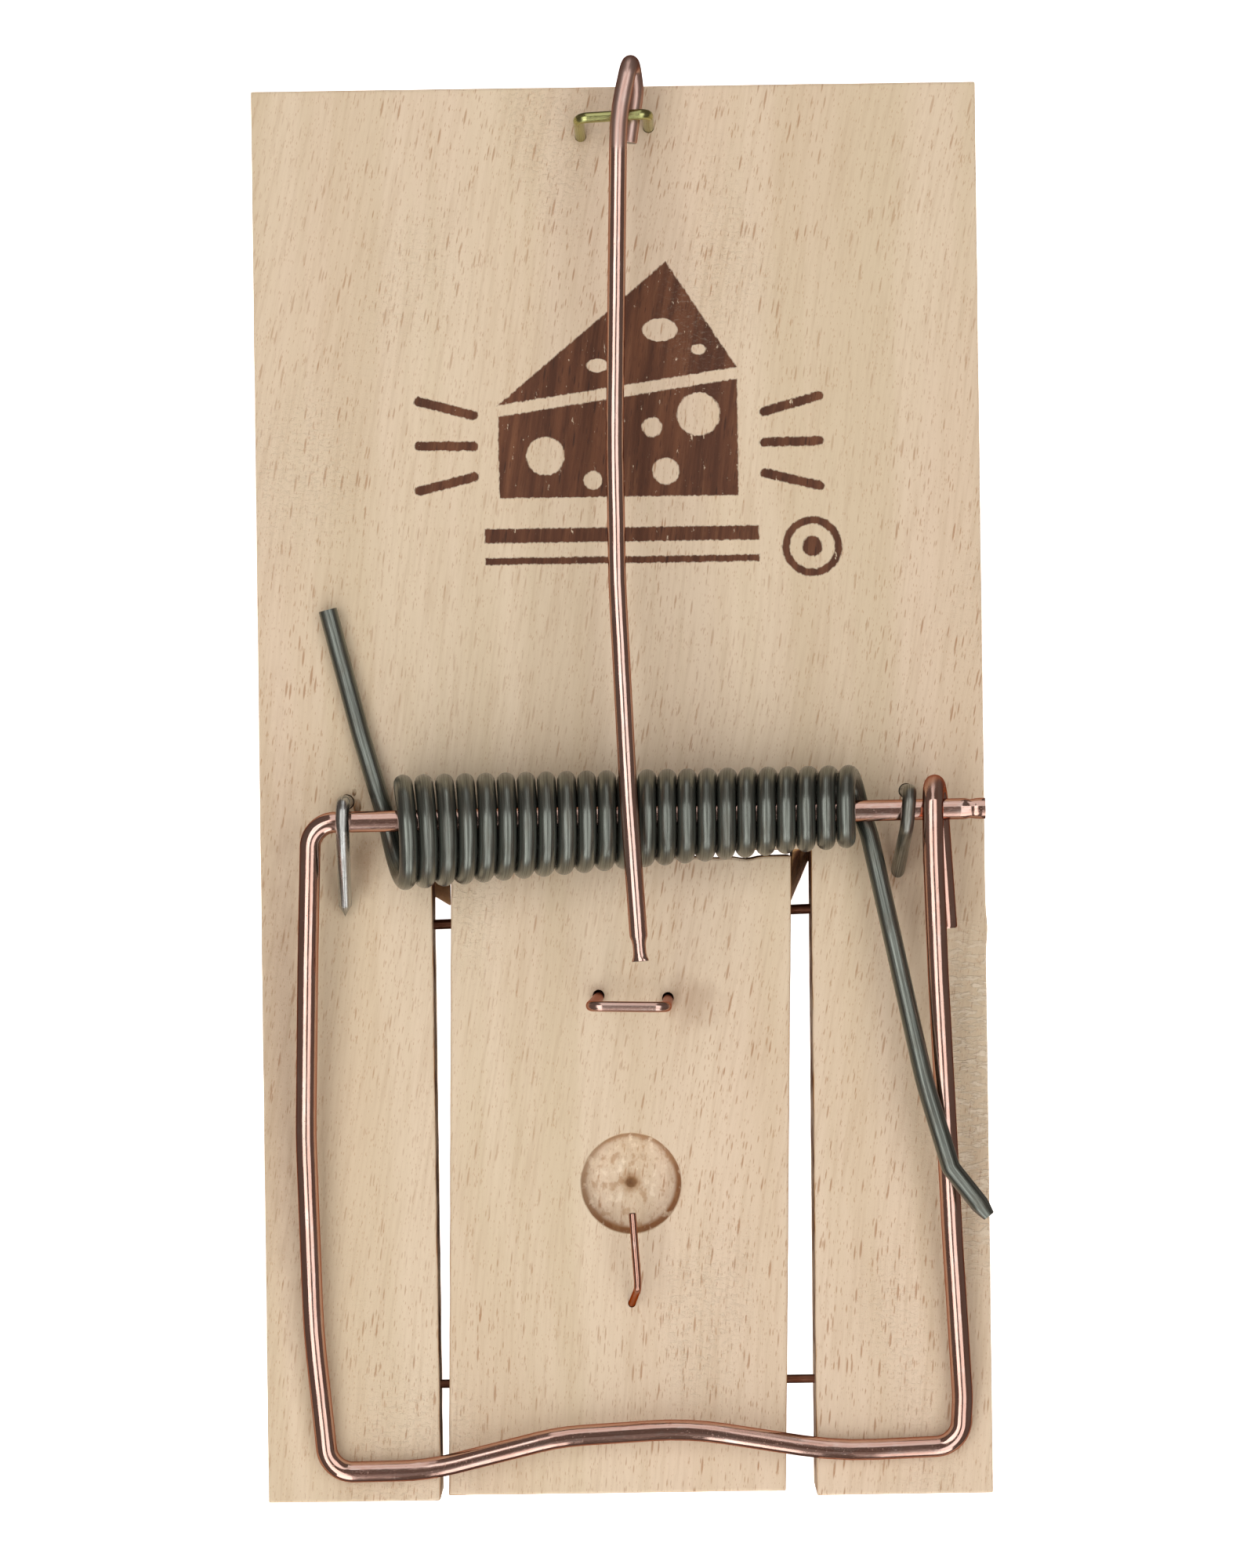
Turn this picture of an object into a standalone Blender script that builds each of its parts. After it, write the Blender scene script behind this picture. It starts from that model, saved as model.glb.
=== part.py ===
"""Snap rodent trap: a sawn beech board with a rocking treadle, a wire bow on a coil spring
and a long holding rod. In metres, +Z up, +Y towards the rear, standing on z = 0."""
import math

import bmesh
import bpy
from mathutils import Vector

MM = 0.001

# base board (all sizes below are in millimetres)
BOARD_L = 170.0
BOARD_W = 87.0
BOARD_T = 12.0
EDGE_EASE = 0.5
CROSS_CUT_Y = -7.2
KERF_LEFT_X = (-23.15, -21.0)
KERF_RIGHT_X = (20.75, 22.45)
SAW_R = 40.0
SAW_Y = -45.1
SAW_Z = 24.7

# treadle, sitting slightly askew in the slot; its top falls away to the front by the
# angle through which it can be raised
TREADLE_Y = (-84.7, -8.6)
TREADLE_LEFT_X = (-21.92, -20.38)
TREADLE_RIGHT_X = (18.54, 20.39)
TREADLE_UNDERSIDE_Z = 0.4
TREADLE_TRAVEL = math.radians(1.8)
RECESS_AT = (0.48, -47.15)
RECESS_R = 6.05
RECESS_DEPTH = 2.4
DIMPLE_R = 0.65
DIMPLE_DEPTH = 1.2

# nails: two pivots on one slightly skewed line, and two stops that run in upright slots
PIVOT_Y = -15.1
PIVOT_Z = 6.0
PIVOT_SKEW = 0.028
PIVOT_R = 0.6
PIVOT_REACH = 34.2
STOP_Y = -71.4
STOP_Z = 7.0
STOP_R = 0.52
STOP_SLOT_Z = (4.3, 7.9)
STOP_SLOT_W = 1.8
STOP_BITE = 5.0
NAIL_HEAD_X = 43.2

# bow and spring; an H is a height above the board's top face
AXLE_Y = -3.0
AXLE_H = 7.25
BOW_R = 1.25
CROSSBAR_H = 1.55
HOOK_R = 2.7
SPRING_R = 1.14
TURNS = 23
STEPS_PER_TURN = 18
COIL_X = (28.1, -27.2)
COIL_RADIUS = (3.74, 5.72)
COIL_Y = (-1.97, -4.3)

# holding rod, staples and bait wire
ROD_R = 1.05
ROD_STAPLE_Y = 80.7
ROD_STAPLE_H = 6.2
ROD_STAPLE_R = 0.65
AXLE_STAPLE_R = 0.82
AXLE_STAPLE_H = 9.85
CATCH_H = 17.4
CATCH_R = 0.62
BAIT_WIRE_R = 0.45

# clearance round a wire's buried end, and how far a bore runs past its mouth and its end
BORE_CLEARANCE = 0.04
BORE_PAST_MOUTH = 3.0
BORE_PAST_END = 0.4

BEECH = (0.66, 0.50, 0.35, 1.0)
TREADLE_BEECH = (0.68, 0.52, 0.37, 1.0)
COPPERED = (0.62, 0.42, 0.36, 1.0)
SPRING_STEEL = (0.17, 0.18, 0.17, 1.0)
BRIGHT_STEEL = (0.55, 0.55, 0.53, 1.0)
NAIL_STEEL = (0.30, 0.27, 0.24, 1.0)
CHROMATE = (0.36, 0.38, 0.16, 1.0)


def at(x, y, h):
    """A point given by its height above the board's top face."""
    return Vector((x, y, BOARD_T + h))


def pivot_at(x):
    return Vector((x, PIVOT_Y + PIVOT_SKEW * x, PIVOT_Z))


def treadle_top(y):
    """Height of the treadle's top face above the underside plane."""
    return BOARD_T + (y - PIVOT_Y) * math.tan(TREADLE_TRAVEL)


def new_collection(name):
    collection = bpy.data.collections.new(name)
    bpy.context.scene.collection.children.link(collection)
    return collection


def principled(name, colour, metallic, roughness):
    mat = bpy.data.materials.new(name)
    mat.use_nodes = True
    bsdf = mat.node_tree.nodes["Principled BSDF"]
    bsdf.inputs["Base Color"].default_value = colour
    bsdf.inputs["Metallic"].default_value = metallic
    bsdf.inputs["Roughness"].default_value = roughness
    mat.diffuse_color = colour
    return mat


def place(name, data, collection, hinge=None):
    """Link a new object; a moving piece hangs from the empty on its joint's axis."""
    obj = bpy.data.objects.new(name, data)
    collection.objects.link(obj)
    obj.parent = hinge
    if collection is not trap:
        obj.hide_render = True
        obj.display_type = "WIRE"
    return obj


def hinge_empty(name, centre):
    empty = bpy.data.objects.new(name, None)
    trap.objects.link(empty)
    empty.location = centre * MM
    bpy.context.view_layer.update()
    return empty


def bent(points, bends, turn=math.radians(14)):
    """Centreline of a bent wire: straight runs joined by arcs of the given bend radii."""
    path = [points[0]]
    for before, corner, after, radius in zip(points, points[1:], points[2:], bends):
        back = (before - corner).normalized()
        ahead = (after - corner).normalized()
        bend = math.pi - back.angle(ahead)
        room = 0.49 * min((before - corner).length, (after - corner).length)
        reach = min(radius * math.tan(bend / 2), room)
        centre = corner + (back + ahead).normalized() * reach / math.sin(bend / 2)
        spoke = corner + back * reach - centre
        axis = back.cross(ahead).normalized()
        steps = max(2, math.ceil(bend / turn))
        for k in range(steps + 1):
            angle = -bend * k / steps
            path.append(centre + spoke * math.cos(angle) + axis.cross(spoke) * math.sin(angle))
    path.append(points[-1])
    return path


def wire(name, path, radius, mat, hinge=None, tips=((0, 1), (0, 1))):
    """A round wire as a bevelled curve; tips are (length, end scale) at its start and end."""
    origin = hinge.location / MM if hinge else Vector()
    curve = bpy.data.curves.new(name, "CURVE")
    curve.dimensions = "3D"
    curve.bevel_depth = radius * MM
    curve.bevel_resolution = 2
    curve.use_fill_caps = True
    curve.materials.append(mat)
    spline = curve.splines.new("POLY")
    spline.points.add(len(path) - 1)
    run = [0.0]
    for a, b in zip(path, path[1:]):
        run.append(run[-1] + (b - a).length)
    for point, spot, gone in zip(spline.points, path, run):
        point.co = (*((spot - origin) * MM), 1.0)
        for (length, scale), distance in zip(tips, (gone, run[-1] - gone)):
            if distance < length:
                point.radius = scale + (1 - scale) * distance / length
    return place(name, curve, trap, hinge)


def block(name, lo, hi, collection, hinge=None):
    """A box between two corners."""
    origin = hinge.location / MM if hinge else Vector()
    bm = bmesh.new()
    bmesh.ops.create_cube(bm, size=1.0)
    for v in bm.verts:
        corner = Vector(hi[i] if v.co[i] > 0 else lo[i] for i in range(3))
        v.co = (corner - origin) * MM
    mesh = bpy.data.meshes.new(name)
    bm.to_mesh(mesh)
    bm.free()
    return place(name, mesh, collection, hinge)


def rod_cutter(name, start, end, radius, collection, segments=16):
    """A cylinder between two points."""
    along = end - start
    bm = bmesh.new()
    bmesh.ops.create_cone(
        bm,
        cap_ends=True,
        segments=segments,
        radius1=radius * MM,
        radius2=radius * MM,
        depth=along.length * MM,
    )
    mesh = bpy.data.meshes.new(name)
    bm.to_mesh(mesh)
    bm.free()
    cutter = place(name, mesh, collection)
    cutter.rotation_mode = "QUATERNION"
    cutter.rotation_quaternion = along.to_track_quat("Z", "Y")
    cutter.location = (start + end) / 2 * MM
    return cutter


def bore(mouth, end, radius, collection):
    """A hole for a wire's buried end, open past its mouth."""
    along = (end - mouth).normalized()
    start = mouth - along * BORE_PAST_MOUTH
    stop = end + along * BORE_PAST_END
    rod_cutter("bore", start, stop, radius + BORE_CLEARANCE, collection)


def ease_edges(obj):
    bevel = obj.modifiers.new("eased edges", "BEVEL")
    bevel.width = EDGE_EASE * MM
    bevel.segments = 2


def cut(obj, collection):
    """Take every solid in a collection of cutters out of an object."""
    mod = obj.modifiers.new("cuts", "BOOLEAN")
    mod.operation = "DIFFERENCE"
    mod.solver = "EXACT"
    mod.operand_type = "COLLECTION"
    mod.collection = collection


def nail(name, head, point, radius):
    """A headless wire nail, driven in from a side edge of the board."""
    path = [head.lerp(point, t) for t in (0.0, 0.5, 0.94, 1.0)]
    mat = principled(name + "_steel", NAIL_STEEL, 1.0, 0.45)
    bore(head, point, radius, board_cutters)
    wire(name, path, radius, mat, tips=((0, 1), (2.0, 0.25)))


def staple(name, route, bends, radius, mat, cutters, hinge=None):
    """A two-legged staple with sharpened ends, and the bores that its legs sit in."""
    bore(route[1], route[0], radius, cutters)
    bore(route[2], route[3], radius, cutters)
    wire(name, bent(route, bends), radius, mat, hinge, tips=((1.5, 0.35), (1.5, 0.35)))


def make_board():
    """The rear half stays whole; a cross cut and two saw kerfs free the tongue in front."""
    half_w, half_l = BOARD_W / 2, BOARD_L / 2
    board = block("base_board", (-half_w, -half_l, 0), (half_w, half_l, BOARD_T), trap)
    board.data.materials.append(principled("base_board_beech", BEECH, 0.0, 0.6))
    ease_edges(board)
    low = (KERF_LEFT_X[1] - 0.1, -half_l - 5, -5)
    block("tongue_cut", low, (KERF_RIGHT_X[0] + 0.1, CROSS_CUT_Y, BOARD_T + 5), board_cutters)
    for x0, x1 in (KERF_LEFT_X, KERF_RIGHT_X):
        # the round blade leaves a curved foot at the inner end of each kerf
        hub = Vector((0, SAW_Y, SAW_Z))
        ends = hub + Vector((x0, 0, 0)), hub + Vector((x1, 0, 0))
        rod_cutter("kerf_end", *ends, SAW_R, board_cutters, segments=128)
        block("kerf", (x0, -half_l - 5, -5), (x1, SAW_Y, BOARD_T + 5), board_cutters)
    cut(board, board_cutters)


def make_treadle():
    low = (-1, TREADLE_Y[0], TREADLE_UNDERSIDE_Z)
    tongue = block("treadle", low, (1, TREADLE_Y[1], BOARD_T), trap, treadle_axis)
    tongue.data.materials.append(principled("treadle_beech", TREADLE_BEECH, 0.0, 0.6))
    for v in tongue.data.vertices:
        rear = v.co.y > 0
        side = TREADLE_RIGHT_X if v.co.x > 0 else TREADLE_LEFT_X
        v.co.x = side[rear] * MM
        if v.co.z > 0:
            v.co.z = (treadle_top(TREADLE_Y[rear]) - PIVOT_Z) * MM
    ease_edges(tongue)
    x, y = RECESS_AT
    floor = treadle_top(y) - RECESS_DEPTH
    rod_cutter("recess", Vector((x, y, floor)), Vector((x, y, 20)), RECESS_R, treadle_cutters, 48)
    deep = Vector((x, y, floor - DIMPLE_DEPTH))
    rod_cutter("dimple", deep, Vector((x, y, floor + 1)), DIMPLE_R, treadle_cutters)
    cut(tongue, treadle_cutters)


def make_nails():
    for side, sign in (("left", -1), ("right", 1)):
        head = pivot_at(sign * NAIL_HEAD_X)
        point = pivot_at(sign * (NAIL_HEAD_X - PIVOT_REACH))
        nail("pivot_nail_" + side, head, point, PIVOT_R)
        bore(head, point, PIVOT_R + BORE_CLEARANCE, treadle_cutters)
        edge = TREADLE_RIGHT_X[0] if sign > 0 else TREADLE_LEFT_X[0]
        head = Vector((sign * NAIL_HEAD_X, STOP_Y, STOP_Z))
        point = Vector((edge - sign * STOP_BITE, STOP_Y, STOP_Z))
        nail("stop_nail_" + side, head, point, STOP_R)
        xs = sorted((edge + sign * 2.0, edge - sign * (STOP_BITE + 1.0)))
        low = (xs[0], STOP_Y - STOP_SLOT_W / 2, STOP_SLOT_Z[0])
        high = (xs[1], STOP_Y + STOP_SLOT_W / 2, STOP_SLOT_Z[1])
        block("stop_slot", low, high, treadle_cutters)


def make_bow():
    """One wire: along the axle, down the left arm, across the front in a slack wave, back up
    the right arm, and round the axle in an open hook."""
    route = [
        at(43.3, AXLE_Y, AXLE_H),
        at(-37.1, AXLE_Y, AXLE_H),
        at(-37.7, -20.0, 5.95),
        at(-37.9, -40.5, 4.4),
        at(-37.2, -64.0, 2.7),
        at(-36.1, -81.2, CROSSBAR_H),
        at(-24.5, -81.1, CROSSBAR_H),
        at(-8.5, -77.3, CROSSBAR_H),
        at(7.0, -76.5, CROSSBAR_H),
        at(25.0, -79.5, CROSSBAR_H),
        at(39.6, -79.0, CROSSBAR_H),
        at(39.9, -73.0, 2.2),
        at(38.9, -55.0, 4.2),
        at(37.4, -22.0, 7.85),
        at(36.9, -7.0, AXLE_H + HOOK_R),
        at(36.95, AXLE_Y + HOOK_R + 0.3, AXLE_H + HOOK_R),
        at(37.7, AXLE_Y + HOOK_R + 0.3, AXLE_H - HOOK_R),
        at(38.7, -16.8, AXLE_H - HOOK_R),
    ]
    bends = (3.0, 60, 90, 90, 3.2, 30, 30, 40, 45, 3.2, 12, 90, 60, 25, HOOK_R, HOOK_R)
    mat = principled("snap_bow_coppered", COPPERED, 1.0, 0.3)
    wire("snap_bow", bent(route, bends), BOW_R, mat, bow_axis, tips=((1.4, 0.8), (0.4, 0.9)))


def coil_turns():
    """A coil that widens to the left, its turns leaning out of square towards that end."""
    steps = TURNS * STEPS_PER_TURN
    for k in range(steps + 1):
        t = k / steps
        angle = 2 * math.pi * TURNS * t
        radius = COIL_RADIUS[0] + (COIL_RADIUS[1] - COIL_RADIUS[0]) * t
        lean = 0.38 + 1.5 * max(0.0, t - 0.8)
        tilt = -0.35 + 1.1 * t
        x = COIL_X[0] + (COIL_X[1] - COIL_X[0]) * t
        x -= lean * math.sin(angle) + tilt * math.cos(angle)
        y = COIL_Y[0] + (COIL_Y[1] - COIL_Y[0]) * t + radius * math.sin(angle)
        yield at(x, y, AXLE_H - radius * math.cos(angle))


def make_spring():
    """Striking leg over the bow's right arm, coil round the axle, fixed leg on the board."""
    coil = list(coil_turns())
    striking = [
        at(43.0, -51.0, 8.3),
        at(38.55, -45.2, 8.25),
        at(35.6, -35.0, 8.1),
        at(32.2, -18.2, 5.9),
        at(29.6, -5.5, 3.85),
        coil[0],
    ]
    fixed = [
        coil[-1],
        at(-28.7, -1.5, 1.5),
        at(-31.2, 7.2, 1.35),
        at(-35.0, 22.4, 1.35),
    ]
    path = bent(striking, (1.6, 30, 60, 12))[:-1] + coil + bent(fixed, (10, 40))[1:]
    mat = principled("torsion_spring_steel", SPRING_STEEL, 1.0, 0.38)
    wire("torsion_spring", path, SPRING_R, mat)


def make_axle_staples():
    """Each holds the axle down, and its front leg slopes forward into the board."""
    routes = {
        "axle_staple_left": [
            at(-33.1, -0.7, -8.5),
            at(-33.1, -0.7, AXLE_STAPLE_H),
            at(-33.2, -4.0, AXLE_STAPLE_H),
            at(-33.45, -14.9, -2.65),
        ],
        "axle_staple_right": [
            at(34.3, -0.6, -8.5),
            at(34.25, -0.6, AXLE_STAPLE_H),
            at(33.85, -4.15, AXLE_STAPLE_H),
            at(32.85, -12.0, -4.0),
        ],
    }
    for name, route in routes.items():
        mat = principled(name + "_steel", BRIGHT_STEEL, 1.0, 0.32)
        staple(name, route, (1.6, 1.6), AXLE_STAPLE_R, mat, board_cutters)


def make_rod_and_its_staple():
    """The rod hooks through the rear staple's eye and lies over the coil."""
    eye = [
        at(-3.53, 77.1, -8.0),
        at(-4.03, ROD_STAPLE_Y - 0.2, ROD_STAPLE_H),
        at(4.29, ROD_STAPLE_Y + 0.2, ROD_STAPLE_H),
        at(4.5, 78.85, -8.0),
    ]
    mat = principled("rod_staple_chromated", CHROMATE, 1.0, 0.3)
    staple("rod_staple", eye, (1.1, 1.1), ROD_STAPLE_R, mat, board_cutters)
    route = [
        at(2.2, 77.7, ROD_STAPLE_H - 1.85),
        at(2.75, 86.9, ROD_STAPLE_H - 1.9),
        at(1.35, 86.9, ROD_STAPLE_H + 1.55),
        at(0.68, ROD_STAPLE_Y, ROD_STAPLE_H + 1.9),
        at(-0.2, 42.0, 11.1),
        at(-0.15, 25.0, 12.4),
        at(0.85, -1.0, 14.4),
        at(1.95, -19.9, 15.8),
    ]
    mat = principled("holding_rod_coppered", COPPERED, 1.0, 0.28)
    path = bent(route, (1.65, 1.65, 40, 200, 90, 120))
    wire("holding_rod", path, ROD_R, mat, rod_axis, tips=((0.4, 0.9), (2.8, 0.78)))


def make_catch_and_bait_wire():
    """Both stand in the treadle: the catch holds the rod's tip down when the trap is set."""
    route = [
        at(-2.8, -23.1, -8.0),
        at(-4.13, -25.3, CATCH_H),
        at(4.9, -25.55, CATCH_H),
        at(5.26, -23.9, -8.0),
    ]
    mat = principled("catch_staple_coppered", COPPERED, 1.0, 0.3)
    staple("catch_staple", route, (1.1, 1.1), CATCH_R, mat, treadle_cutters, treadle_axis)
    route = [
        at(-0.5, -64.2, -7.0),
        at(1.15, -59.4, 3.2),
        at(0.57, -50.4, 3.7),
    ]
    bore(route[1], route[0], BAIT_WIRE_R, treadle_cutters)
    mat = principled("bait_wire_coppered", COPPERED, 1.0, 0.3)
    tips = ((1.0, 0.35), (0.2, 0.85))
    wire("bait_wire", bent(route, (1.8,)), BAIT_WIRE_R, mat, treadle_axis, tips)


for old in list(bpy.data.objects):
    bpy.data.objects.remove(old)

trap = new_collection("snap_rodent_trap")
board_cutters = new_collection("board_cutters")
treadle_cutters = new_collection("treadle_cutters")
bow_axis = hinge_empty("bow_axis", at(0, AXLE_Y, AXLE_H))
rod_axis = hinge_empty("rod_axis", at(0, ROD_STAPLE_Y, ROD_STAPLE_H))
treadle_axis = hinge_empty("treadle_axis", pivot_at(0))

make_board()
make_treadle()
make_nails()
make_bow()
make_spring()
make_axle_staples()
make_rod_and_its_staple()
make_catch_and_bait_wire()
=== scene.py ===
"""Looks of the snap rodent trap: a sawn beech board with a rocking treadle, coppered wires and
a dark coil spring, seen from straight above under long softboxes on a pale floor.
Shapes are worked out in millimetres in the model's own frame and written in metres."""
import math
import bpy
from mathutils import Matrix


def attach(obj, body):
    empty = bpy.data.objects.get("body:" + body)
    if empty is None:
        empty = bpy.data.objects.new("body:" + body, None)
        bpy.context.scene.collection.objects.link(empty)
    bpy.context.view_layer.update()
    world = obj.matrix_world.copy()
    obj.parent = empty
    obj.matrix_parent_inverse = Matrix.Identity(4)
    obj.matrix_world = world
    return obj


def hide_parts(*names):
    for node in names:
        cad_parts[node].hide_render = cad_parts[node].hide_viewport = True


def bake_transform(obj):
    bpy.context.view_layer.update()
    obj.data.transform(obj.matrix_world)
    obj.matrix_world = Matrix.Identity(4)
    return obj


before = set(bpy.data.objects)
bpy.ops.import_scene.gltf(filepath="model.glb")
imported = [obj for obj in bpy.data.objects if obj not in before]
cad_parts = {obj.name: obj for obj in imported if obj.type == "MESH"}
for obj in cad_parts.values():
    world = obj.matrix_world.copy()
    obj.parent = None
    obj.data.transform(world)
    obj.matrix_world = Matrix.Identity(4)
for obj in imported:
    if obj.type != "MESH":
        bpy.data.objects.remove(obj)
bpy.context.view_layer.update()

from types import SimpleNamespace

import bmesh
import bpy
import numpy as np
from mathutils import Vector, noise

MM = 0.001

# board, kerfs and treadle
BOARD_L = 170.0
BOARD_W = 87.0
BOARD_T = 12.0
CROSS_CUT_Y = -7.2
KERF_LEFT_X = (-23.0, -21.1)
KERF_RIGHT_X = (20.85, 22.73)
SAW_R = 40.0
SAW_Y = -45.1
SAW_Z = 24.7
EASE = 0.3
TREADLE_Y = (-84.7, -7.85)
TREADLE_LEFT_X = (-22.12, -20.7)
TREADLE_RIGHT_X = (18.72, 20.39)
TREADLE_UNDERSIDE_Z = 0.4
TREADLE_SLOPE = math.tan(math.radians(1.8))
RECESS_AT = (0.48, -47.15)
RECESS_R = 6.05
RECESS_DEPTH = 2.4
DIMPLE_R = 0.65
DIMPLE_DEPTH = 1.2

# nails
PIVOT_Y = -15.1
PIVOT_Z = 6.0
PIVOT_SKEW = 0.028
PIVOT_R = 0.6
PIVOT_INNER_X = 9.0
STOP_Y = -71.4
STOP_Z = 7.0
STOP_R = 0.52
STOP_BITE = 5.0
STOP_SLOT_Z = (4.3, 7.9)
STOP_SLOT_W = 1.8
NAIL_HEAD_X = 43.2

# wires; an H is a height above the board's top face
AXLE_Y = -3.0
AXLE_H = 7.25
HOOK_R = 2.7
BOW_R = 1.25
CROSSBAR_H = 1.55
SPRING_R = 1.12
TURNS = 23
COIL_X = (28.1, -27.2)
COIL_RADIUS = (3.78, 5.8)
COIL_Y = (-2.0, -4.42)
ROD_R = 1.05
ROD_STAPLE_Y = 80.7
ROD_STAPLE_H = 6.2
ROD_STAPLE_R = 0.65
AXLE_STAPLE_R = 0.82
AXLE_STAPLE_H = 9.85
CATCH_H = 17.4
CATCH_R = 0.62
BAIT_WIRE_R = 0.45


# ---------------------------------------------------------------- geometry helpers

def at(x, y, h):
    """A point given by its height above the board's top face."""
    return Vector((x, y, BOARD_T + h))


def pivot_at(x):
    return Vector((x, PIVOT_Y + PIVOT_SKEW * x, PIVOT_Z))


def treadle_top(y):
    """Height of the treadle's top face, which falls away to the front."""
    return BOARD_T + (y - PIVOT_Y) * TREADLE_SLOPE


def wobble(x, y, z, seed=0.0):
    """Smooth noise between about -1 and 1."""
    return noise.noise(Vector((x + seed * 17.3, y - seed * 5.1, z + seed * 3.7)))


def linked(name, data):
    """A new object in the scene that shows a mesh, a light or a camera."""
    obj = bpy.data.objects.new(name, data)
    bpy.context.scene.collection.objects.link(obj)
    return obj


def new_object(name, mesh, materials):
    for material in materials:
        mesh.materials.append(material)
    return linked(name, mesh)


def mesh_from(name, verts, faces):
    """A mesh in metres from points in millimetres, its faces turned outwards."""
    mesh = bpy.data.meshes.new(name)
    mesh.from_pydata([tuple(c * MM for c in v) for v in verts], [], faces)
    bm = bmesh.new()
    bm.from_mesh(mesh)
    bmesh.ops.recalc_face_normals(bm, faces=bm.faces)
    bm.to_mesh(mesh)
    bm.free()
    return mesh


def tube_faces(count, ring):
    """Quads between rings of points, count points in all, and a cap on the two end rings."""
    faces = [tuple(reversed(range(ring)))]
    for base in range(0, count - ring, ring):
        for k in range(ring):
            nxt = (k + 1) % ring
            faces.append((base + k, base + nxt, base + ring + nxt, base + ring + k))
    faces.append(tuple(range(count - ring, count)))
    return faces


def bent(points, bends, turn=math.radians(4)):
    """Centreline of a bent wire: straight runs joined by arcs of the given bend radii."""
    path = [points[0]]
    for before, corner, after, radius in zip(points, points[1:], points[2:], bends):
        back = (before - corner).normalized()
        ahead = (after - corner).normalized()
        bend = math.pi - back.angle(ahead)
        room = 0.49 * min((before - corner).length, (after - corner).length)
        reach = min(radius * math.tan(bend / 2), room)
        centre = corner + (back + ahead).normalized() * reach / math.sin(bend / 2)
        spoke = corner + back * reach - centre
        axis = back.cross(ahead).normalized()
        steps = max(2, math.ceil(bend / turn))
        for k in range(steps + 1):
            angle = -bend * k / steps
            path.append(centre + spoke * math.cos(angle) + axis.cross(spoke) * math.sin(angle))
    path.append(points[-1])
    return path


def evenly(path, step):
    """The same path with points at most a step apart, and closer at its two ends."""
    full = [path[0]]
    for a, b in zip(path, path[1:]):
        parts = max(1, math.ceil((b - a).length / step))
        full += [a.lerp(b, k / parts) for k in range(1, parts + 1)]
    first = [full[0].lerp(full[1], t) for t in (0.1, 0.3, 0.6)]
    last = [full[-1].lerp(full[-2], t) for t in (0.6, 0.3, 0.1)]
    return [full[0], *first, *full[1:-1], *last, full[-1]]


def chamfered(gone, left):
    """Cross-section of a plain cropped wire: its very ends are slightly rounded off."""
    end = min(gone, left)
    scale = 1 - 0.12 * max(0.0, 1 - end / 0.12)
    return scale, scale


def sharpened(gone, left):
    """Cross-section of a wire with a long point at its start and its end."""
    scale = min(1.0, 0.3 + 0.7 * min(gone, left) / 1.5)
    return scale, scale


def chiselled(gone, left):
    """Cross-section of a wire cropped to a flat V at its start and its end."""
    share = min(1.0, min(gone, left) / 1.6)
    return 0.06 + 0.94 * share, 0.5 + 0.5 * share


def sweep(name, path, radius, shape=chamfered, step=0.6, ring=20):
    """A closed round wire. shape gives its width and thickness, as shares of the radius, at a
    distance from each end. The attribute "wire" is the place on it as if it lay straight."""
    spots = np.array([tuple(p) for p in evenly(path, step)])
    gaps = np.linalg.norm(np.diff(spots, axis=0), axis=1)
    spots = spots[np.r_[True, gaps > 1e-4]]
    run = np.r_[0.0, np.cumsum(np.linalg.norm(np.diff(spots, axis=0), axis=1))]
    heading = np.gradient(spots, run, axis=0)
    heading /= np.linalg.norm(heading, axis=1)[:, None]
    across = np.cross(heading[0], (0.0, 0.0, 1.0))
    if np.linalg.norm(across) < 0.2:
        across = np.cross((0.0, 1.0, 0.0), heading[0])
    verts = []
    straight = []
    for spot, ahead, gone in zip(spots, heading, run):
        across = across - ahead * (across @ ahead)
        across /= np.linalg.norm(across)
        upward = np.cross(across, ahead)
        wide, thick = shape(gone, run[-1] - gone)
        for k in range(ring):
            c, s = math.cos(2 * math.pi * k / ring), math.sin(2 * math.pi * k / ring)
            verts.append(spot + radius * (wide * c * across + thick * s * upward))
            straight.append((radius * c, radius * s, gone))
    mesh = mesh_from(name, verts, tube_faces(len(verts), ring))
    spread = mesh.attributes.new("wire", "FLOAT_VECTOR", "POINT")
    spread.data.foreach_set("vector", np.array(straight, np.float32).ravel())
    mesh.shade_smooth()
    mesh.set_sharp_from_angle(angle=math.radians(40))
    return mesh


def wire_object(name, mesh, ring, metal, cut):
    """The object of a swept wire; its two end caps, with a corner for each point of the ring,
    show the cut metal."""
    obj = new_object(name, mesh, (metal, cut))
    for face in mesh.polygons:
        if len(face.vertices) == ring:
            face.material_index = 1
    return obj


def wire(name, body, path, radius, metal, cut, shape=chamfered, step=0.6, ring=20):
    """A wire piece in place of the CAD node of its name."""
    mesh = sweep(name, path, radius, shape, step, ring)
    obj = wire_object(name + "_wire", mesh, ring, metal, cut)
    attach(obj, body)
    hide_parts(name)
    return obj


def edge_stops(length, step):
    """Distances along an edge from its first corner, closer together near both corners."""
    near = [d for d in (0.12, 0.3, 0.55) if d < length * 0.4]
    room = length - 2 * near[-1]
    parts = max(1, math.ceil(room / step))
    middle = [near[-1] + room * k / parts for k in range(1, parts)]
    return [0.0, *near, *middle, *(length - d for d in reversed(near))]


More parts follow.
